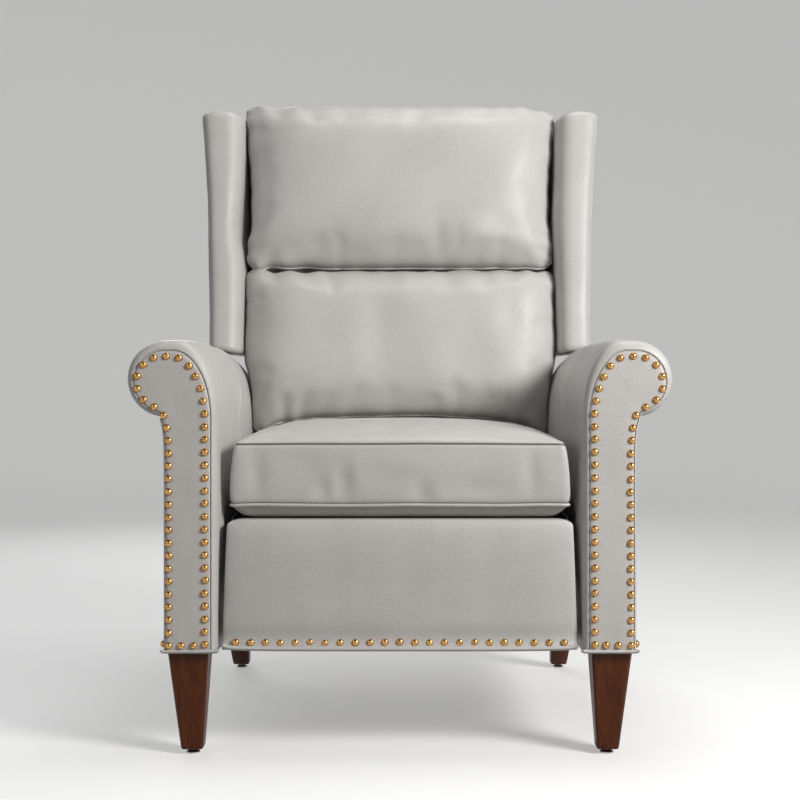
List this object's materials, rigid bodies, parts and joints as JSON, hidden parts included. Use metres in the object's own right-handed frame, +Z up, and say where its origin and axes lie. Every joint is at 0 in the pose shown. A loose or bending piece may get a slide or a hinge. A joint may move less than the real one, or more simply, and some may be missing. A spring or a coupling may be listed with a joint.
{
  "type": "wingback recliner",
  "caption": "High-leg wingback recliner with rolled arms, padded wings, two back pillows and a box seat; pushing the back moves the seat and unfolds the footrest.",
  "frame": {"origin": "on the floor under the middle of the chair's bounding box", "axes": "+Z up, the sitter faces -Y, +X to the right in a front view"},
  "size_m": [0.8386, 0.858, 1.1515],
  "materials": {
    "leather": "soft light warm-grey leather, fine grain, low sheen",
    "leg_wood": "dark reddish-brown stained hardwood, satin lacquer",
    "frame_wood": "raw hardwood and plywood",
    "steel": "dark coated steel",
    "spring_steel": "bare spring wire",
    "glide_metal": "plain nickel-plated glide",
    "brass": "antique brass nail heads",
    "cloth": "black upholsterer's decking cloth"
  },
  "bodies": {
    "base": {"arm_cover_left": "leather", "arm_cover_right": "leather", "arm_facing_left": "leather", "arm_facing_right": "leather", "arm_frame_left": "frame_wood", "arm_frame_right": "frame_wood", "front_stretcher": "frame_wood", "rear_stretcher": "frame_wood", "rear_panel": "leather", "leg_front_left": "leg_wood", "leg_front_right": "leg_wood", "leg_rear_left": "leg_wood", "leg_rear_right": "leg_wood", "glide_front_left": "glide_metal", "glide_front_right": "glide_metal", "glide_rear_left": "glide_metal", "glide_rear_right": "glide_metal", "base_rail_left": "steel", "base_rail_right": "steel"},
    "rear_swing": {"swing_link_rear_left": "steel", "swing_link_rear_right": "steel"},
    "front_swing": {"swing_link_front_left": "steel", "swing_link_front_right": "steel"},
    "seat": {"side_plate_left": "steel", "side_plate_right": "steel", "torque_tube": "steel", "seat_rail_front": "frame_wood", "seat_rail_rear": "frame_wood", "seat_rail_left": "frame_wood", "seat_rail_right": "frame_wood", "seat_springs": "spring_steel", "seat_cushion": "leather"},
    "back": {"recline_bracket_left": "steel", "recline_bracket_right": "steel", "back_stile_left": "frame_wood", "back_stile_right": "frame_wood", "back_top_rail": "frame_wood", "back_bottom_rail": "frame_wood", "back_springs": "spring_steel", "back_deck": "cloth", "outside_back": "leather", "wing_left": "leather", "wing_right": "leather", "head_pillow": "leather", "lumbar_pillow": "leather"},
    "tong_lead": {"tong_lead_link_left": "steel", "tong_lead_link_right": "steel"},
    "tong_short": {"tong_short_link_left": "steel", "tong_short_link_right": "steel"},
    "tong_cross": {"tong_cross_link_left": "steel", "tong_cross_link_right": "steel"},
    "tong_main": {"tong_main_link_left": "steel", "tong_main_link_right": "steel"},
    "tong_end": {"tong_end_link_left": "steel", "tong_end_link_right": "steel"},
    "footrest": {"footrest_cover": "leather", "footrest_board": "frame_wood", "footrest_bracket_left": "steel", "footrest_bracket_right": "steel"}
  },
  "joints": [
    {"name": "seat_ride", "type": "hinge", "parent": "base", "child": "rear_swing", "pos_m": [0, 0.09102, 0.215], "axis": [1, 0, 0], "range_deg": [0, 40]},
    {"name": "seat_carry", "type": "hinge", "parent": "rear_swing", "child": "seat", "pos_m": [0, 0.1218, 0.29957], "axis": [-1, 0, 0], "range_deg": [0, 40]},
    {"name": "front_swing", "type": "hinge", "parent": "base", "child": "front_swing", "pos_m": [0, -0.16898, 0.215], "axis": [1, 0, 0], "range_deg": [0, 40]},
    {"name": "back_recline", "type": "hinge", "parent": "seat", "child": "back", "pos_m": [0, 0.21102, 0.34], "axis": [-1, 0, 0], "range_deg": [0, 30]},
    {"name": "tong_lead", "type": "hinge", "parent": "seat", "child": "tong_lead", "pos_m": [0, -0.30398, 0.35], "axis": [-1, 0, 0], "range_deg": [0, 78]},
    {"name": "tong_short", "type": "hinge", "parent": "tong_lead", "child": "tong_short", "pos_m": [0, -0.31874, 0.26629], "axis": [1, 0, 0], "range_deg": [0, 156]},
    {"name": "tong_cross", "type": "hinge", "parent": "tong_lead", "child": "tong_cross", "pos_m": [0, -0.3335, 0.18258], "axis": [1, 0, 0], "range_deg": [0, 156]},
    {"name": "tong_main", "type": "hinge", "parent": "tong_cross", "child": "tong_main", "pos_m": [0, -0.33647, 0.26753], "axis": [-1, 0, 0], "range_deg": [0, 156]},
    {"name": "tong_end", "type": "hinge", "parent": "tong_main", "child": "tong_end", "pos_m": [0, -0.35123, 0.18382], "axis": [1, 0, 0], "range_deg": [0, 156]},
    {"name": "footrest", "type": "hinge", "parent": "tong_cross", "child": "footrest", "pos_m": [0, -0.33944, 0.35248], "axis": [-1, 0, 0], "range_deg": [0, 156]}
  ],
  "couplings": [
    {"joint": "seat_carry", "follows": "seat_ride", "ratio": 1},
    {"joint": "front_swing", "follows": "seat_ride", "ratio": 1},
    {"joint": "back_recline", "follows": "seat_ride", "ratio": 0.75},
    {"joint": "tong_lead", "follows": "seat_ride", "ratio": 1.95},
    {"joint": "tong_short", "follows": "seat_ride", "ratio": 3.9},
    {"joint": "tong_cross", "follows": "seat_ride", "ratio": 3.9},
    {"joint": "tong_main", "follows": "seat_ride", "ratio": 3.9},
    {"joint": "tong_end", "follows": "seat_ride", "ratio": 3.9},
    {"joint": "footrest", "follows": "seat_ride", "ratio": 3.9}
  ]
}
